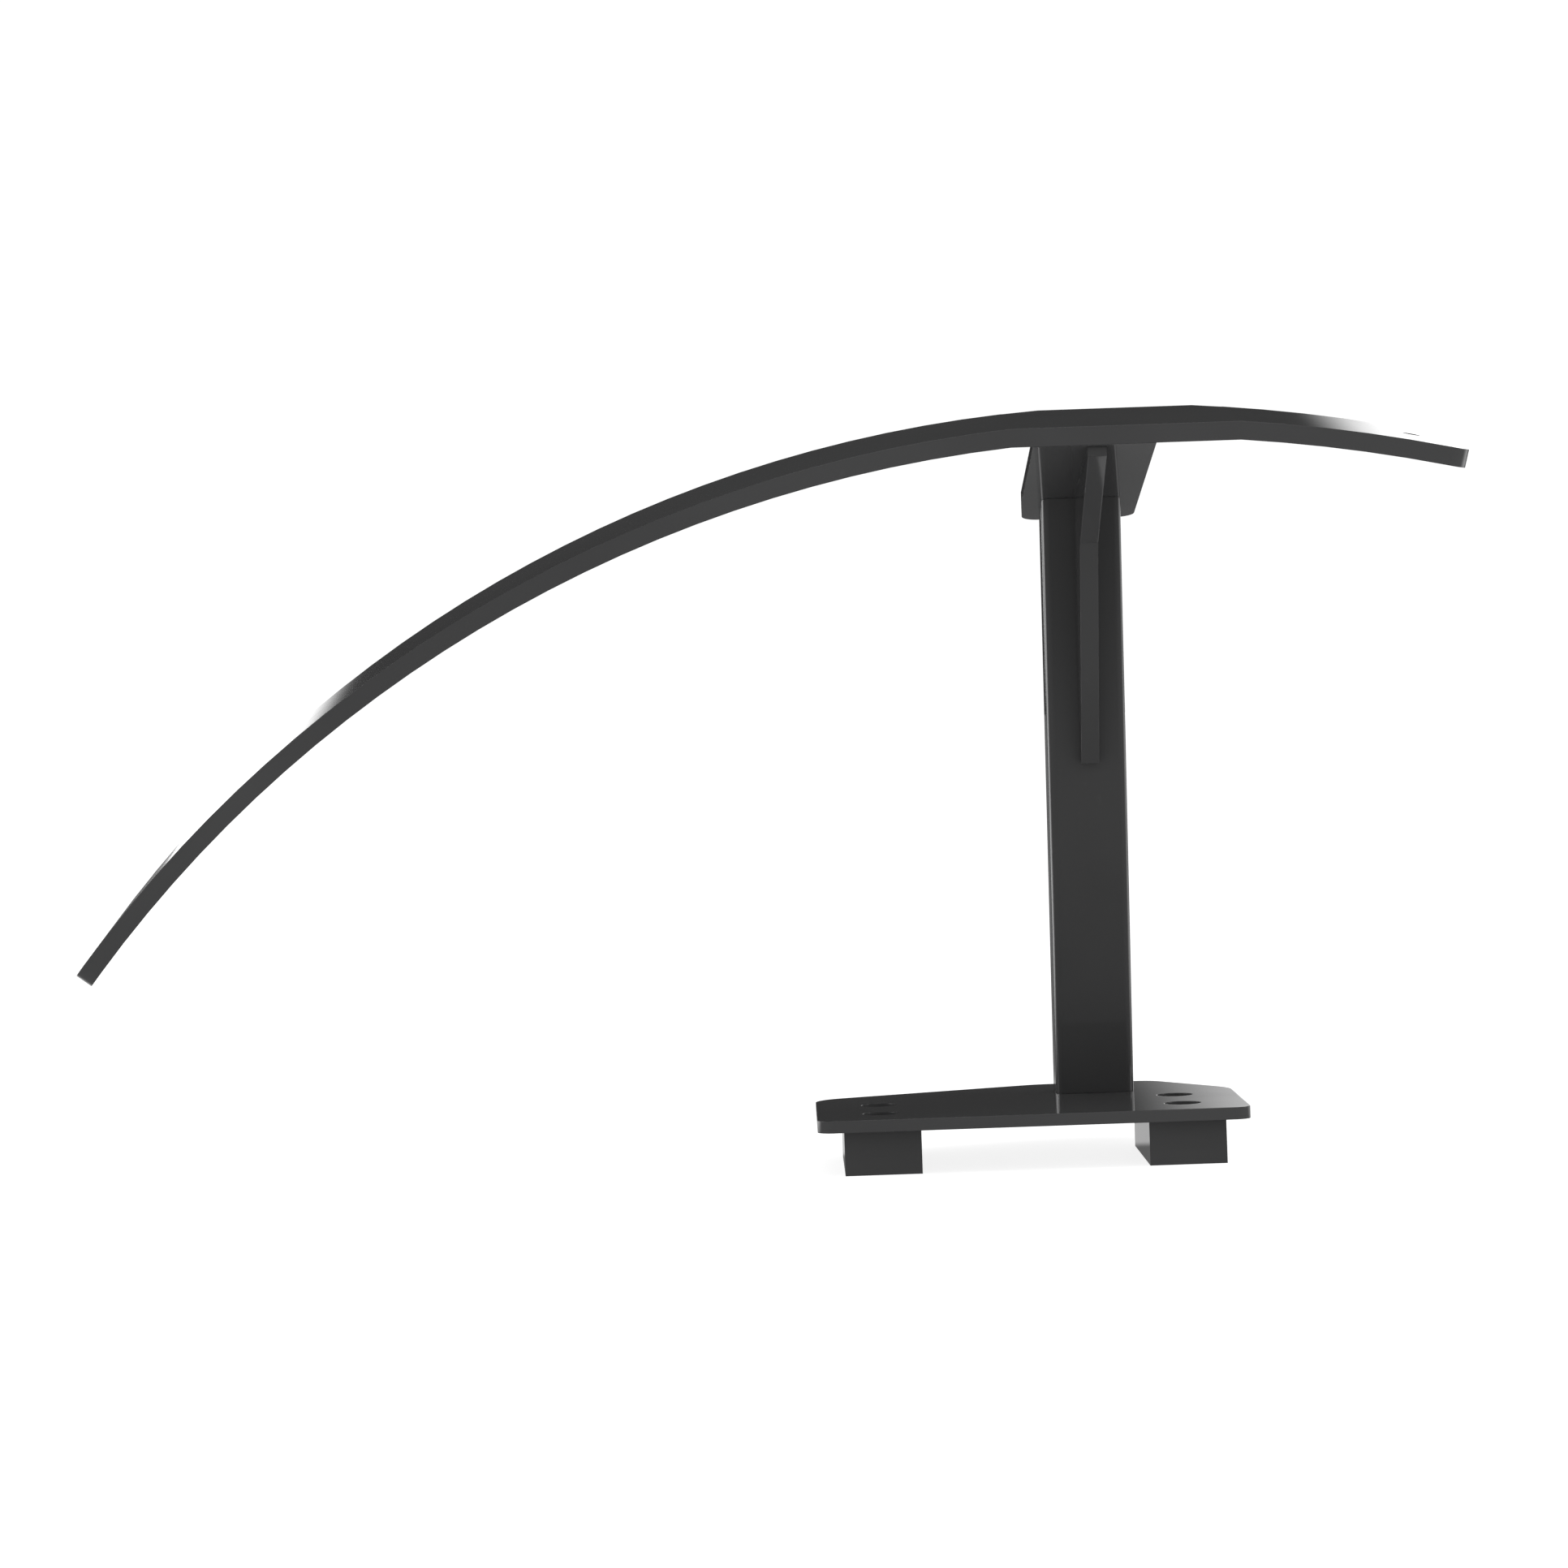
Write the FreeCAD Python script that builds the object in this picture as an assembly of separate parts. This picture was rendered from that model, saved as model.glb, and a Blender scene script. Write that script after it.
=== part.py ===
import FreeCAD, Part
import math
import os

os.makedirs("parts", exist_ok=True)

# A welded stand: a base plate on two bars carries one leaning post, and a strut plate
# and a rib at the post's head carry a long curved blade.
# Origin: centre of the four base holes, at the underside of the bars.
# X runs along the base's near edge, Y away from that edge, Z up. Millimetres.

# base plate outline, measured from the centre of the hole pattern
plate_thickness = 6.0
plate_near_edge = 55.0
plate_left_end = 107.0
plate_right_end = 106.0
plate_far_edge = 107.0
plate_left_shoulder = 61.0       # where the straight left end gives way to the long slant
plate_right_shoulder = 52.5      # where the straight right end gives way to the short slant
far_flat_left = 9.0              # ends of the straight part of the far edge
far_flat_right = 69.5
near_corner_radius = 8.0
left_shoulder_radius = 20.0
right_shoulder_radius = 35.0
far_left_radius = 40.0
far_right_radius = 15.0

# base holes, for M16 bolts
hole_spacing_x = 150.0
hole_spacing_y = 45.0
bolt_diameter = 16.0
bolt_clearance = 2.0             # on diameter

# bars under the plate, centred on the holes
bar_width = 38.0
bar_length = 95.0
bar_height = 22.0

# post: rectangular hollow section, leaning towards the near edge
tube_width = 40.0
tube_depth = 25.0
tube_wall = 2.0
tube_corner_radius = 4.0
post_offset_x = 36.5             # post centre from the pattern centre
post_foot_y = 48.0               # near face of the post where it meets the plate
post_lean_deg = 8.0
post_front_length = 306.3        # near face, from the plate up to the strut plate

# strut plate across the post's head
strut_width = 59.0
strut_thickness = 6.0
strut_slope_deg = 18.6           # to the blade's flat
strut_rear_overhang = 20.0       # behind the back of the post
strut_corner_radius = 9.0
strut_left_taper = 2.0           # left edge draws in by this at the rear end
strut_left_taper_length = 38.0

# rib in front of the post, under the strut plate
rib_thickness = 9.0
rib_offset_x = 1.2               # from the post's centre line
rib_length = 134.5               # down the near face of the post, from the strut plate
rib_foot_reach = 5.0
rib_knee_reach = 33.0
rib_knee_drop = 19.6             # knee below the strut plate level at the post's near face
rib_nose_setback = 3.0           # behind the blade's near edge
rib_nose_height = 4.8            # nose is cut square to the strut plate

# blade: a strip bent across the post
blade_reach = 105.0              # near edge of the blade, in front of the post's near face
blade_width = 90.0
blade_thickness = 9.0
blade_flat_left = 40.0           # flat middle, either side of the post's centre line
blade_flat_right = 70.0
left_arm_radius = 643.0          # underside
left_arm_start_deg = 4.8         # slope where the arm leaves the flat
left_arm_end_deg = 52.4          # slope at the tip
right_arm_radius = 781.0
right_arm_start_deg = 5.4
right_arm_end_deg = 13.45
tab_reach = 16.0                 # tab on the blade's far edge
tab_root_inset = 0.5             # from each end of the flat
tab_left_run = 19.0              # sideways length of the tab's slanted sides
tab_right_run = 13.0
tip_corner_radius = 10.0
tip_hole_diameter = 8.5
tip_hole_setback = 23.0          # along the underside, from the right tip

hole_radius = (bolt_diameter + bolt_clearance) / 2
plate_underside = bar_height
plate_top = plate_underside + plate_thickness
far_away = 2000.0


def vec(x, y, z):
    return FreeCAD.Vector(x, y, z)


def corner(before, at, after, radius):
    """Start, middle and end of the arc that rounds one corner."""
    back = (before - at).normalize()
    ahead = (after - at).normalize()
    half = back.getAngle(ahead) / 2
    reach = min(radius / math.tan(half), 0.48 * min((before - at).Length, (after - at).Length))
    radius = reach * math.tan(half)
    centre = at + (back + ahead).normalize() * (radius / math.sin(half))
    middle = centre + (at - centre).normalize() * radius
    return at + back * reach, middle, at + ahead * reach


def roundedFace(points, radii):
    """Flat face from corner points, each with its own radius (0 leaves it sharp)."""
    count = len(points)
    runs = []
    for i in range(count):
        if radii[i] > 0:
            runs.append(corner(points[i - 1], points[i], points[(i + 1) % count], radii[i]))
        else:
            runs.append((points[i],))
    edges = []
    for i in range(count):
        run, following = runs[i], runs[(i + 1) % count]
        if len(run) == 3:
            edges.append(Part.Arc(*run).toShape())
        edges.append(Part.LineSegment(run[-1], following[0]).toShape())
    return Part.Face(Part.Wire(edges))


def save(shape, name):
    shape = shape.removeSplitter()
    if shape.ShapeType != "Solid":
        shape = shape.Solids[0] if len(shape.Solids) == 1 else shape
    assert shape.isValid() and len(shape.Solids) == 1, name
    shape.exportStep("parts/%s.step" % name)
    box = shape.BoundBox
    print("%-18s volume %10.0f  x %.1f..%.1f  y %.1f..%.1f  z %.1f..%.1f" % (
        name, shape.Volume, box.XMin, box.XMax, box.YMin, box.YMax, box.ZMin, box.ZMax))
    return shape


# ---- base ----

hole_xs = (-hole_spacing_x / 2, hole_spacing_x / 2)
hole_ys = (-hole_spacing_y / 2, hole_spacing_y / 2)


def drilled(shape):
    for x in hole_xs:
        for y in hole_ys:
            shape = shape.cut(Part.makeCylinder(hole_radius, plate_top + 20, vec(x, y, -10)))
    return shape


outline = [
    (-plate_left_end, -plate_near_edge, near_corner_radius),
    (plate_right_end, -plate_near_edge, near_corner_radius),
    (plate_right_end, plate_right_shoulder, right_shoulder_radius),
    (far_flat_right, plate_far_edge, far_right_radius),
    (far_flat_left, plate_far_edge, far_left_radius),
    (-plate_left_end, plate_left_shoulder, left_shoulder_radius),
]
plate = roundedFace([vec(x, y, plate_underside) for x, y, r in outline], [r for x, y, r in outline])
save(drilled(plate.extrude(vec(0, 0, plate_thickness))), "base_plate")

for side, x in zip(("left", "right"), hole_xs):
    bar = Part.makeBox(bar_width, bar_length, bar_height, vec(x - bar_width / 2, -bar_length / 2, 0))
    save(drilled(bar), side + "_spacer_bar")

# ---- everything on the post ----
# Local frame of the post: x sideways from its centre line, n back from its near face,
# t up along it, all from the foot of the near face. It is then leant and moved as one.


def place(shape):
    shape = shape.copy()
    shape.rotate(vec(0, 0, 0), vec(1, 0, 0), post_lean_deg)
    shape.translate(vec(post_offset_x, post_foot_y, plate_top))
    return shape


def profile(points):
    """Face in the n-t plane through the centre line."""
    return [vec(0, n, t) for n, t in points]


slope = math.radians(strut_slope_deg)


def strutUnderside(n):
    return post_front_length - n * math.tan(slope)


blade_underside = strutUnderside(-blade_reach)

# post: the section runs past both ends, then is trimmed by the plate and the strut plate
overrun = 60.0


def section(width, depth, radius, inset):
    x, near, far = width / 2, inset, inset + depth
    corners = [vec(*at, -overrun) for at in ((-x, near), (x, near), (x, far), (-x, far))]
    return roundedFace(corners, [radius] * 4).extrude(vec(0, 0, post_front_length + 2 * overrun))


bore_radius = max(tube_corner_radius - tube_wall, 0.5)
tube = section(tube_width, tube_depth, tube_corner_radius, 0.0)
tube = tube.cut(section(tube_width - 2 * tube_wall, tube_depth - 2 * tube_wall, bore_radius, tube_wall))
wide = tube_width
far_n = tube_depth + wide
above = profile([(-wide, strutUnderside(-wide)), (far_n, strutUnderside(far_n)),
                 (far_n, far_away), (-wide, far_away)])
above = Part.Face(Part.makePolygon(above + above[:1])).extrude(vec(2 * wide, 0, 0))
above.translate(vec(-wide, 0, 0))
tube = place(tube.cut(above))
below = Part.makeBox(2 * far_away, 2 * far_away, far_away, vec(-far_away, -far_away, plate_top - far_away))
save(tube.cut(below), "post_tube")

# strut plate: underside on the post's mitred head, near end bevelled to lie under the blade
rear_n = tube_depth + strut_rear_overhang
uphill = vec(0, -math.cos(slope), math.sin(slope))
square = vec(0, math.sin(slope), math.cos(slope))
rear = vec(0, rear_n, strutUnderside(rear_n))
strut_length = (rear_n + blade_reach) / math.cos(slope)
side = vec(strut_width / 2, 0, 0)
corners = [rear - side + vec(strut_left_taper, 0, 0), rear + side,
           rear + side + uphill * strut_length, rear - side + uphill * strut_length,
           rear - side + uphill * strut_left_taper_length]
strut = roundedFace(corners, [strut_corner_radius, strut_corner_radius, 0, 0, 0])
strut = strut.extrude(square * strut_thickness)
cover = Part.makeBox(2 * strut_width, far_away, far_away, vec(-strut_width, -far_away / 2, blade_underside))
save(place(strut.cut(cover)), "strut_plate")

# rib
nose_n = rib_nose_setback - blade_reach
nose_low_n = nose_n - rib_nose_height * math.sin(slope)
nose_low_t = strutUnderside(nose_n) - rib_nose_height * math.cos(slope)
rib_foot = post_front_length - rib_length
points = profile([
    (0, rib_foot),
    (-rib_foot_reach, rib_foot),
    (-rib_knee_reach, post_front_length - rib_knee_drop),
    (nose_low_n, nose_low_t),
    (nose_n, strutUnderside(nose_n)),
    (0, post_front_length),
])
rib = Part.Face(Part.makePolygon(points + points[:1])).extrude(vec(rib_thickness, 0, 0))
rib.translate(vec(rib_offset_x - rib_thickness / 2, 0, 0))
save(place(rib), "front_rib")


# blade: flat middle and two arms that bend down, each struck from its own centre
def arm(direction, flat_end, radius, start_deg, end_deg):
    """Points on the underside and on top at the arm's root, middle and tip, and its centre."""
    start = math.radians(start_deg)
    aside = flat_end - radius * math.sin(start)
    centre = vec(direction * aside, 0, blade_underside - radius * math.cos(start))
    rows = []
    for r in (radius, radius + blade_thickness):
        row = []
        for angle in (start_deg, (start_deg + end_deg) / 2, end_deg):
            a = math.radians(angle)
            row.append(centre + vec(direction * math.sin(a), 0, math.cos(a)) * r)
        rows.append(row)
    return rows[0], rows[1], centre


def meeting(direction, flat_end, radius, centre):
    """Where the flat's top meets the arm's outer arc."""
    top = blade_underside + blade_thickness
    reach = math.sqrt((radius + blade_thickness) ** 2 - (top - centre.z) ** 2)
    return vec(centre.x + direction * reach, 0, top)


left_in, left_out, left_centre = arm(
    -1, blade_flat_left, left_arm_radius, left_arm_start_deg, left_arm_end_deg)
right_in, right_out, right_centre = arm(
    1, blade_flat_right, right_arm_radius, right_arm_start_deg, right_arm_end_deg)
left_top = meeting(-1, blade_flat_left, left_arm_radius, left_centre)
right_top = meeting(1, blade_flat_right, right_arm_radius, right_centre)
edges = [
    Part.Arc(left_in[2], left_in[1], left_in[0]).toShape(),
    Part.LineSegment(left_in[0], right_in[0]).toShape(),
    Part.Arc(right_in[0], right_in[1], right_in[2]).toShape(),
    Part.LineSegment(right_in[2], right_out[2]).toShape(),
    Part.Arc(right_out[2], right_out[1], right_top).toShape(),
    Part.LineSegment(right_top, left_top).toShape(),
    Part.Arc(left_top, left_out[1], left_out[2]).toShape(),
    Part.LineSegment(left_out[2], left_in[2]).toShape(),
]
blade = Part.Face(Part.Wire(edges)).extrude(vec(0, blade_width, 0))
blade.translate(vec(0, -blade_reach, 0))
tip_edges = [edge for edge in blade.Edges if abs(edge.Length - blade_thickness) < 0.001]
blade = blade.makeFillet(tip_corner_radius, tip_edges)

tab_root = blade_width - blade_reach
tab_left = -blade_flat_left + tab_root_inset
tab_right = blade_flat_right - tab_root_inset
tab = [(tab_left, tab_root), (tab_left + tab_left_run, tab_root + tab_reach),
       (tab_right - tab_right_run, tab_root + tab_reach), (tab_right, tab_root)]
tab = [vec(x, n, blade_underside) for x, n in tab]
tab = Part.Face(Part.makePolygon(tab + tab[:1])).extrude(vec(0, 0, blade_thickness))
blade = blade.fuse(tab)

hole_angle = math.radians(right_arm_end_deg) - tip_hole_setback / right_arm_radius
outward = vec(math.sin(hole_angle), 0, math.cos(hole_angle))
hole_at = right_centre + outward * right_arm_radius + vec(0, blade_width / 2 - blade_reach, 0)
drill_from = hole_at - outward * blade_thickness
blade = blade.cut(Part.makeCylinder(tip_hole_diameter / 2, 3 * blade_thickness, drill_from, outward))
save(place(blade), "curved_blade")

marker = place(Part.Vertex(hole_at + outward * (blade_thickness / 2))).Point
lean = math.radians(post_lean_deg)
print("tip hole centre %.3f %.3f %.3f" % tuple(marker))
print("tip hole axis %.6f %.6f %.6f" % (
    outward.x, -outward.z * math.sin(lean), outward.z * math.cos(lean)))
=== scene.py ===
import math

import bmesh
import bpy
from mathutils import Matrix, Vector


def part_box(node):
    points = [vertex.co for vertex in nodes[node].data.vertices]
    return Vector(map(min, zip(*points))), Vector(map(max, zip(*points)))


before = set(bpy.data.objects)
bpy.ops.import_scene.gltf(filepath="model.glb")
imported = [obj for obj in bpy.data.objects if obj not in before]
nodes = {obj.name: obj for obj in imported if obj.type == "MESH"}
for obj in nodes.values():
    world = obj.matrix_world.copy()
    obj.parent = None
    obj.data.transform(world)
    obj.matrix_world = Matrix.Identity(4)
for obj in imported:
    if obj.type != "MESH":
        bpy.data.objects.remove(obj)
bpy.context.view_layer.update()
print("frame loaded:", sorted(nodes))

# the camera: a long lens held low, to the left of the post
cameraSetup = {
    "place": (-0.1175, -2.2290, 0.2396),
    "pitchDown": math.radians(1.2),
    "roll": math.radians(2.016),
    "lens": 102.09,
    "sensor": 36.0,
    "clipEnd": 50,
}


def placeCamera(setup):
    pitch, roll = setup["pitchDown"], setup["roll"]
    ahead = Vector((0, math.cos(pitch), -math.sin(pitch)))
    level = Vector((0, math.sin(pitch), math.cos(pitch)))
    right = Vector((math.cos(roll), 0, 0)) - level * math.sin(roll)
    above = Vector((math.sin(roll), 0, 0)) + level * math.cos(roll)
    data = bpy.data.cameras.new("camera")
    data.lens = setup["lens"]
    data.sensor_width = setup["sensor"]
    data.clip_end = setup["clipEnd"]
    camera = bpy.data.objects.new("camera", data)
    bpy.context.scene.collection.objects.link(camera)
    turn = Matrix((right, above, -ahead)).transposed().to_4x4()
    camera.matrix_world = Matrix.Translation(Vector(setup["place"])) @ turn
    bpy.context.scene.camera = camera


placeCamera(cameraSetup)
print("camera placed")


class Wires:
    # short hand for wiring one node tree: a value is a number, a colour or another node's socket
    def __init__(self, tree):
        self.tree = tree
        self.add = tree.nodes.new
        self.link = tree.links.new

    def feed(self, socket, value):
        if isinstance(value, bpy.types.NodeSocket):
            self.link(value, socket)
        elif isinstance(value, tuple):
            socket.default_value = (*value, 1)
        else:
            socket.default_value = value

    def maths(self, operation, *values):
        node = self.add("ShaderNodeMath")
        node.operation = operation
        for socket, value in zip(node.inputs, values):
            self.feed(socket, value)
        return node.outputs[0]

    def ramp(self, value, low, high, toLow, toHigh):
        node = self.add("ShaderNodeMapRange")
        node.interpolation_type = "SMOOTHSTEP"
        self.link(value, node.inputs["Value"])
        for socket, number in zip(("From Min", "From Max", "To Min", "To Max"), (low, high, toLow, toHigh)):
            self.feed(node.inputs[socket], number)
        return node.outputs["Result"]

    def mix(self, share, first, second):
        node = self.add("ShaderNodeMix")
        node.data_type = "RGBA"
        for socket, value in (("Factor", share), ("A", first), ("B", second)):
            self.feed(node.inputs[socket], value)
        return node.outputs["Result"]

    def noise(self, where, size, detail):
        node = self.add("ShaderNodeTexNoise")
        self.link(where, node.inputs["Vector"])
        node.inputs["Scale"].default_value = size
        node.inputs["Detail"].default_value = detail
        return node.outputs["Fac"]

    def bump(self, height, depth, before):
        node = self.add("ShaderNodeBump")
        node.inputs["Distance"].default_value = depth
        self.link(height, node.inputs["Height"])
        self.link(before, node.inputs["Normal"])
        return node.outputs["Normal"]

    def choose(self, share, first, second, target):
        node = self.add("ShaderNodeMixShader")
        for socket, value in zip(node.inputs, (share, first, second)):
            self.link(value, socket)
        self.link(node.outputs[0], target)

    def isGlossy(self):
        return self.add("ShaderNodeLightPath").outputs["Is Glossy Ray"]

    def place(self, output):
        split = self.add("ShaderNodeSeparateXYZ")
        self.link(self.add("ShaderNodeTexCoord").outputs[output], split.inputs[0])
        return split.outputs


# the studio: a pale floor, soft lights, a white room, and what the gloss picks up of it
studio = {
    "floorSize": 60.0,
    "floorColour": (0.3, 0.3, 0.3),
    "floorRoughness": 0.6,
    "floorGlow": 0.85,  # keeps the contact shadow faint
    "roomLight": 1.05,
    # a dark card stands straight behind, with a bright gap under it to either side
    "mirroredCard": 0.03,
    "mirroredGap": 1.7,
    "cardFoot": math.radians(3.9),  # the card's lower edge, which rises a little to the left
    "cardLeftRise": 0.05,
    "cardTurn": math.radians(3.7),  # and steeply to the right, from here
    "cardRise": 1.15,
    "cardBlur": math.radians(0.9),
    "cardBlurRise": 0.15,
    "gapLeft": (math.radians(-8.0), math.radians(-6.5)),
    "gapRight": (math.radians(2.3), math.radians(9.8)),
    "cardSide": math.radians(25),
    "cardTop": math.radians(30),
    "cardFade": 1.4,  # the card has faded out at this share past its side and top
    # bright walls to either side, measured from straight behind
    "glowStart": (math.radians(42), math.radians(60)),
    "glowEnd": (math.radians(72), math.radians(95)),
    "glowTop": (math.radians(3.2), math.radians(4.6)),  # how high they reach
    "glowLeft": 4.2,
    "glowRight": 1.6,
    "glowSwap": (-0.1, 0.1),  # radians over which the left strength gives way to the right
    "mirroredFront": 0.2,
    # the floor, which is brighter close behind the stand
    "mirroredFloor": 0.16,
    "mirroredFloorBehind": 0.6,
    "behindStart": (0.03, 0.08),
    "behindReach": (0.25, 0.6),
    "lights": (
        # name, place, size across, size up, power, aimed at
        ("leftSoftbox", (-2.2, -0.2, 1.0), 0.9, 1.8, 26.0, (0, 0, 0.2)),
        ("rightSoftbox", (2.2, -0.2, 1.0), 0.9, 1.8, 16.0, (0, 0, 0.2)),
        ("topSoftbox", (0.0, -0.6, 2.6), 1.6, 1.6, 12.0, (0, 0, 0.1)),
    ),
}


def addLight(name, place, across, up, power, target):
    data = bpy.data.lights.new(name, "AREA")
    data.shape = "RECTANGLE"
    data.size, data.size_y = across, up
    data.energy = power
    lamp = bpy.data.objects.new(name, data)
    bpy.context.scene.collection.objects.link(lamp)
    aim = (Vector(target) - Vector(place)).to_track_quat("-Z", "Y")
    lamp.matrix_world = Matrix.Translation(Vector(place)) @ aim.to_matrix().to_4x4()
    lamp.visible_camera = False


def sideGlow(wires, aside, setup):
    away = wires.maths("ABSOLUTE", aside)
    rising = wires.ramp(away, *setup["glowStart"], 0.0, 1.0)
    falling = wires.ramp(away, *setup["glowEnd"], 1.0, 0.0)
    strength = wires.ramp(aside, *setup["glowSwap"], setup["glowLeft"], setup["glowRight"])
    return wires.maths("MULTIPLY", wires.maths("MULTIPLY", rising, falling), strength)


def addRoom(setup):
    world = bpy.data.worlds.new("room")
    bpy.context.scene.world = world
    world.use_nodes = True
    world.node_tree.nodes.clear()
    wires = Wires(world.node_tree)
    x, y, z = wires.place("Generated")
    aside = wires.maths("ARCTAN2", x, y)  # from straight behind the stand, to the right
    away = wires.maths("ABSOLUTE", aside)
    height = wires.maths("ARCSINE", z)
    level = wires.maths("MULTIPLY_ADD", away, setup["cardLeftRise"], setup["cardFoot"])
    past = wires.maths("MAXIMUM", wires.maths("SUBTRACT", aside, setup["cardTurn"]), 0.0)
    foot = wires.maths("MULTIPLY_ADD", past, setup["cardRise"], level)
    below = wires.maths("SUBTRACT", foot, height)
    blur = wires.maths("MULTIPLY_ADD", past, setup["cardBlurRise"], setup["cardBlur"])
    sharp = wires.maths("DIVIDE", below, blur)
    leftGap = wires.ramp(aside, *setup["gapLeft"], 1.0, 0.0)
    rightGap = wires.ramp(aside, *setup["gapRight"], 0.0, 1.0)
    gap = wires.maths("MULTIPLY_ADD", wires.maths("ADD", leftGap, rightGap), setup["mirroredGap"],
                      setup["mirroredCard"])
    cardOrGap = wires.ramp(sharp, -1.0, 1.0, setup["mirroredCard"], gap)
    side, top, fade = setup["cardSide"], setup["cardTop"], setup["cardFade"]
    beside = wires.ramp(away, side, fade * side, 0.0, 1.0)
    over = wires.ramp(height, top, fade * top, 0.0, 1.0)
    low = wires.ramp(height, *setup["glowTop"], 1.0, 0.0)
    room = wires.maths("MULTIPLY_ADD", sideGlow(wires, aside, setup), low, setup["mirroredFront"])
    strength = wires.ramp(wires.maths("MAXIMUM", beside, over), 0.0, 1.0, cardOrGap, room)

    backgrounds = []
    for value in (setup["roomLight"], strength):
        node = wires.add("ShaderNodeBackground")
        node.inputs["Color"].default_value = (1, 1, 1, 1)
        wires.feed(node.inputs["Strength"], value)
        backgrounds.append(node.outputs[0])
    out = wires.add("ShaderNodeOutputWorld")
    wires.choose(wires.isGlossy(), *backgrounds, out.inputs["Surface"])


def addFloor(setup):
    mesh = bpy.data.meshes.new("floor")
    shape = bmesh.new()
    bmesh.ops.create_grid(shape, x_segments=1, y_segments=1, size=setup["floorSize"] / 2)
    shape.to_mesh(mesh)
    shape.free()
    floor = bpy.data.objects.new("floor", mesh)
    bpy.context.scene.collection.objects.link(floor)
    material = bpy.data.materials.new("paleFloor")
    material.use_nodes = True
    wires = Wires(material.node_tree)
    shader = wires.tree.nodes["Principled BSDF"]
    shader.inputs["Base Color"].default_value = (*setup["floorColour"], 1)
    shader.inputs["Roughness"].default_value = setup["floorRoughness"]
    shader.inputs["Emission Color"].default_value = (1, 1, 1, 1)
    shader.inputs["Emission Strength"].default_value = setup["floorGlow"]

    postLow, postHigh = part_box("post_tube")
    x, y = wires.place("Object")[:2]
    across = wires.maths("SUBTRACT", x, (postLow[0] + postHigh[0]) / 2)
    aside = wires.maths("ARCTAN2", across, y)
    distance = wires.maths("SQRT", wires.maths("MULTIPLY_ADD", across, across, wires.maths("MULTIPLY", y, y)))
    close = wires.ramp(distance, *setup["behindReach"], 1.0, 0.0)
    behind = wires.maths("MULTIPLY", wires.ramp(y, *setup["behindStart"], 0.0, 1.0), close)
    plain = wires.ramp(behind, 0.0, 1.0, setup["mirroredFloor"], setup["mirroredFloorBehind"])
    far = wires.maths("MULTIPLY", sideGlow(wires, aside, setup), wires.maths("SUBTRACT", 1.0, close))
    mirrored = wires.add("ShaderNodeEmission")
    wires.link(wires.maths("ADD", plain, far), mirrored.inputs["Strength"])
    wires.choose(wires.isGlossy(), shader.outputs[0], mirrored.outputs[0],
                 wires.tree.nodes["Material Output"].inputs["Surface"])
    mesh.materials.append(material)


for light in studio["lights"]:
    addLight(*light)
addRoom(studio)
addFloor(studio)
bpy.context.scene.view_settings.view_transform = "Standard"
print("studio ready")

# dark gloss paint over steel: a smooth coat with a faint orange peel, a little flow in its colour,
# dust-dulled patches, fine scuffs here and there, and a duller, paler line where it thins over sharp edges
paint = {
    "patternStep": (1.7, 0.9, 2.3),  # metres from one piece's pattern to the next
    "colour": (0.041, 0.041, 0.0415),
    "drift": 0.06,             # share by which the colour wanders
    "driftSize": 9.0,          # patches per metre
    "driftRange": (0.35, 0.65),
    "driftDetail": 3,
    "roughness": 0.05,
    "dustRoughness": 0.13,
    "dustSize": 22.0,
    "dustRange": (0.5, 0.8),
    "dustDetail": 5,
    "peelSize": 420.0,
    "peelDetail": 2,
    "peelDepth": 0.000002,
    "grainSize": 2600.0,
    "grainDetail": 1,
    "grainDepth": 0.0000003,
    "scuffColour": (0.075, 0.075, 0.077),
    "scuffSize": 90.0,
    "scuffRange": (0.66, 0.74),
    "scuffDetail": 6,
    "scuffZone": (0.5, 0.62),  # scuffs keep to the upper part of the drift
    "scuffAmount": 0.25,
    "edgeRadius": 0.0007,      # how the coat rolls over a sharp edge
    "edgeColour": (0.09, 0.09, 0.092),
    "edgeAmount": 0.3,
    "edgeSize": 60.0,
    "edgeRange": (0.45, 0.65),
    "edgeDetail": 4,
    "edgeSamples": 4,
    "edgeLean": (0.75, 0.98),
}

# what differs from piece to piece: a painted shade (lighter or darker copies of the one coat, standing in for
# how light falls on each piece), how dusty and how scuffed
coats = {
    "base_plate": {"paintedShade": 1.0, "dust": 0.25, "scuff": 0.6},
    "left_spacer_bar": {"paintedShade": 0.9, "dust": 0.8, "scuff": 0.5},
    "right_spacer_bar": {"paintedShade": 0.9, "dust": 0.8, "scuff": 0.5},
    "post_tube": {"paintedShade": 0.86, "dust": 0.3, "scuff": 0.2},
    "strut_plate": {"paintedShade": 0.95, "dust": 0.3, "scuff": 0.2},
    "front_rib": {"paintedShade": 0.92, "dust": 0.5, "scuff": 0.3},
    "curved_blade": {"paintedShade": 1.02, "dust": 0.4, "scuff": 0.5},
}


def edgeMask(wires, setup):
    # how far the rolled-over normal leans from the face's own
    rolled = wires.add("ShaderNodeBevel")
    rolled.samples = setup["edgeSamples"]
    rolled.inputs["Radius"].default_value = setup["edgeRadius"]
    face = wires.add("ShaderNodeNewGeometry").outputs["True Normal"]
    lean = wires.add("ShaderNodeVectorMath")
    lean.operation = "DOT_PRODUCT"
    wires.link(rolled.outputs["Normal"], lean.inputs[0])
    wires.link(face, lean.inputs[1])
    return rolled.outputs["Normal"], wires.ramp(lean.outputs["Value"], *setup["edgeLean"], 1.0, 0.0)


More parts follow.
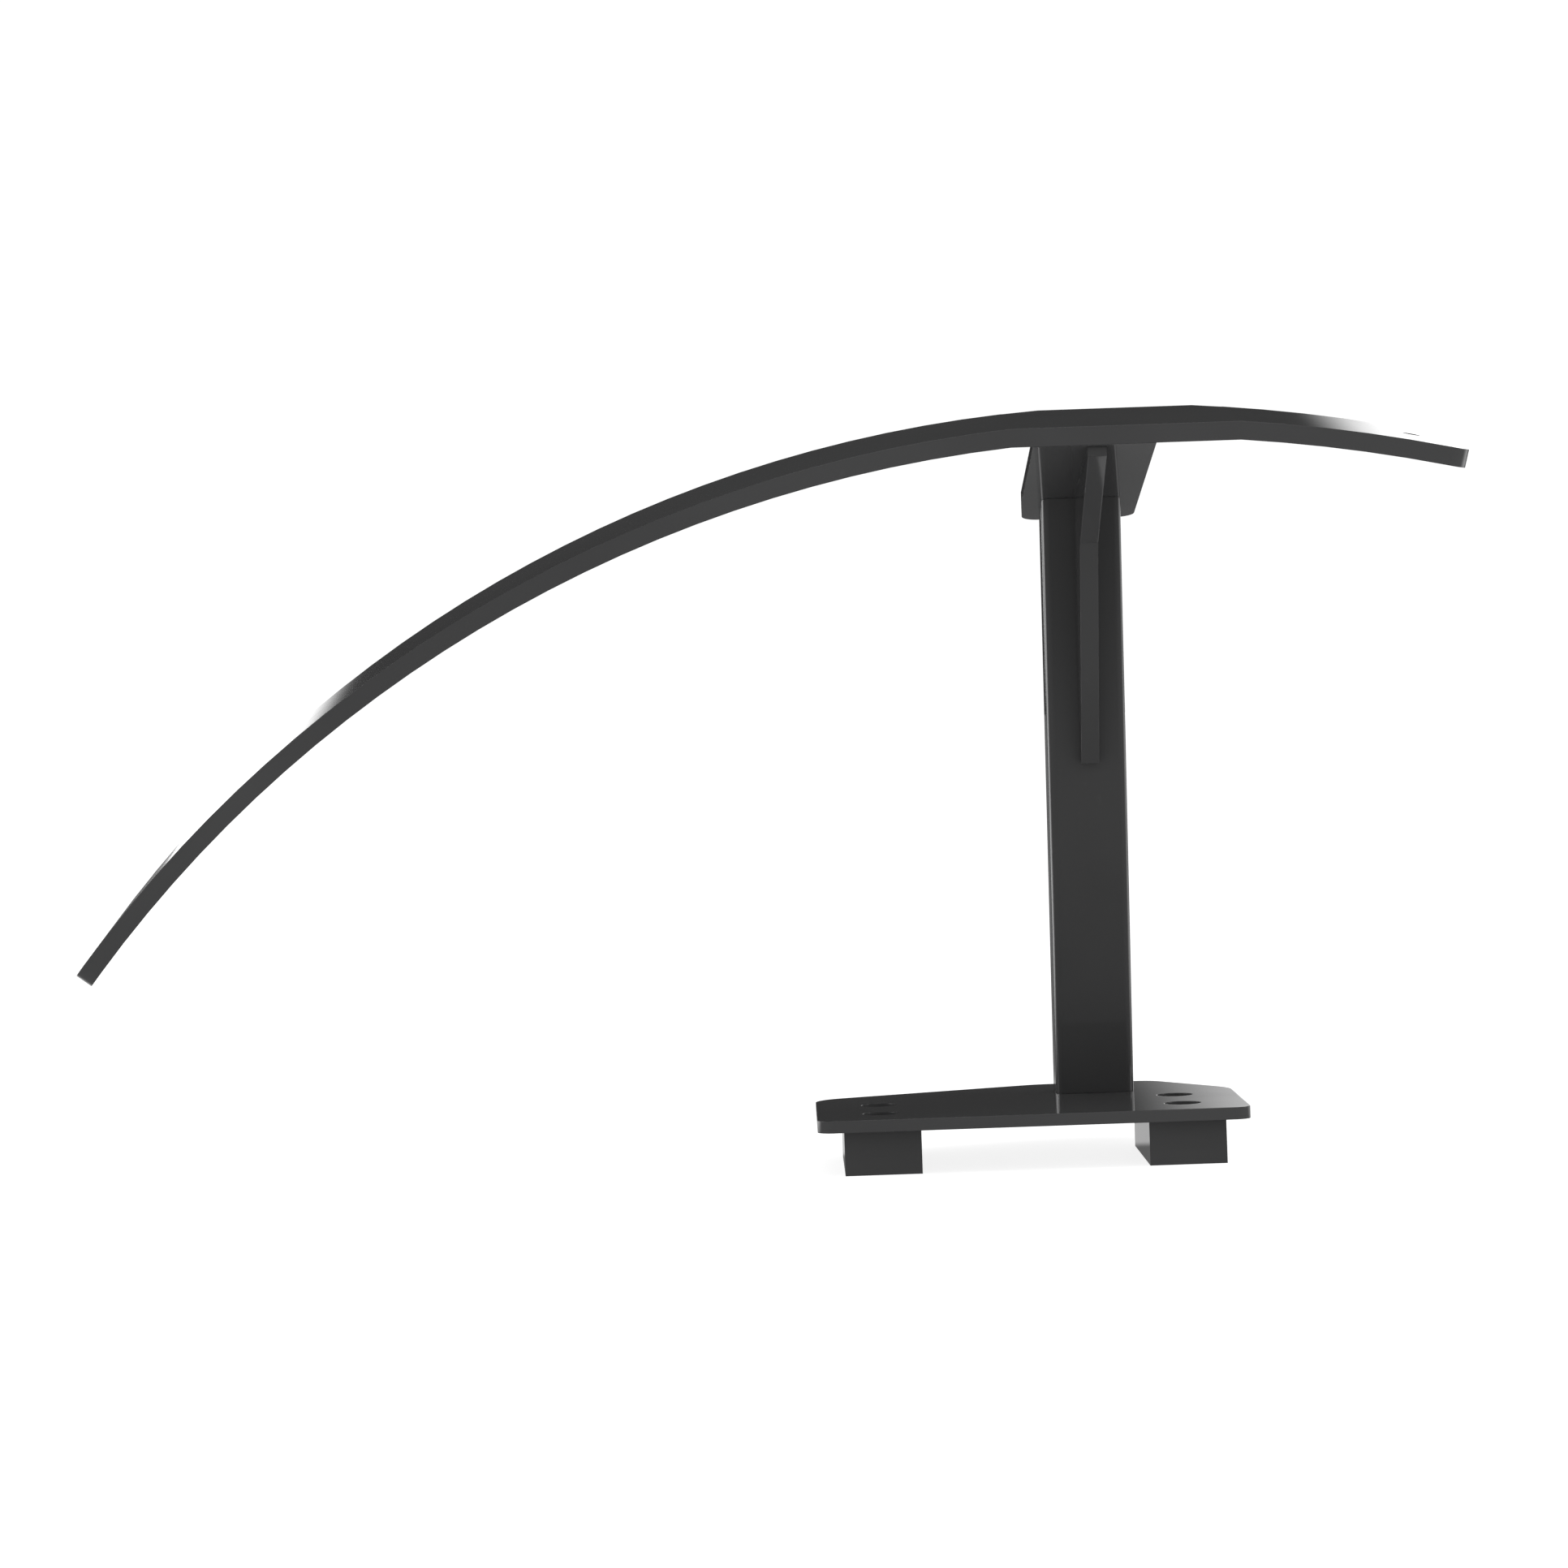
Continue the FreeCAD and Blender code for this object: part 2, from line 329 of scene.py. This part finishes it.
def glossPaint(name, coat, setup, turn):
    material = bpy.data.materials.new(name)
    material.use_nodes = True
    wires = Wires(material.node_tree)
    shader = wires.tree.nodes["Principled BSDF"]
    shift = wires.add("ShaderNodeMapping")  # so that no two pieces share a pattern
    shift.inputs["Location"].default_value = tuple(turn * step for step in setup["patternStep"])
    wires.link(wires.add("ShaderNodeTexCoord").outputs["Object"], shift.inputs["Vector"])
    where = shift.outputs["Vector"]

    # the coat's colour drift to either side, times the piece's painted shade, which darkens or lightens the
    # same paint to stand in for light and shade on that piece
    thinWithPaintedShade, thickWithPaintedShade = [tuple(c * coat["paintedShade"] * (1 + side * setup["drift"]) for c in setup["colour"])
                   for side in (-1, 1)]
    patches = wires.noise(where, setup["driftSize"], setup["driftDetail"])
    colour = wires.mix(wires.ramp(patches, *setup["driftRange"], 0.0, 1.0), thinWithPaintedShade, thickWithPaintedShade)
    scuffs = wires.noise(where, setup["scuffSize"], setup["scuffDetail"])
    scuffs = wires.ramp(scuffs, *setup["scuffRange"], 0.0, setup["scuffAmount"])
    zone = wires.ramp(patches, *setup["scuffZone"], 0.0, coat["scuff"])
    colour = wires.mix(wires.maths("MULTIPLY", scuffs, zone), colour, setup["scuffColour"])
    rolled, edge = edgeMask(wires, setup)
    worn = wires.noise(where, setup["edgeSize"], setup["edgeDetail"])
    worn = wires.ramp(worn, *setup["edgeRange"], 0.0, setup["edgeAmount"])
    worn = wires.maths("MULTIPLY", edge, worn)
    wires.link(wires.mix(worn, colour, setup["edgeColour"]), shader.inputs["Base Color"])

    dusty = setup["roughness"] + (setup["dustRoughness"] - setup["roughness"]) * coat["dust"]
    rough = wires.noise(where, setup["dustSize"], setup["dustDetail"])
    rough = wires.ramp(rough, *setup["dustRange"], setup["roughness"], dusty)
    wires.link(wires.maths("ADD", rough, worn), shader.inputs["Roughness"])

    peel = wires.noise(where, setup["peelSize"], setup["peelDetail"])
    peel = wires.bump(peel, setup["peelDepth"], rolled)
    grain = wires.noise(where, setup["grainSize"], setup["grainDetail"])
    grain = wires.bump(grain, setup["grainDepth"], peel)
    wires.link(grain, shader.inputs["Normal"])
    return material


for turn, (name, coat) in enumerate(coats.items()):
    node = nodes[name]
    node.data.materials.clear()
    node.data.materials.append(glossPaint(name + "Paint", coat, paint, turn))
print("paint on")
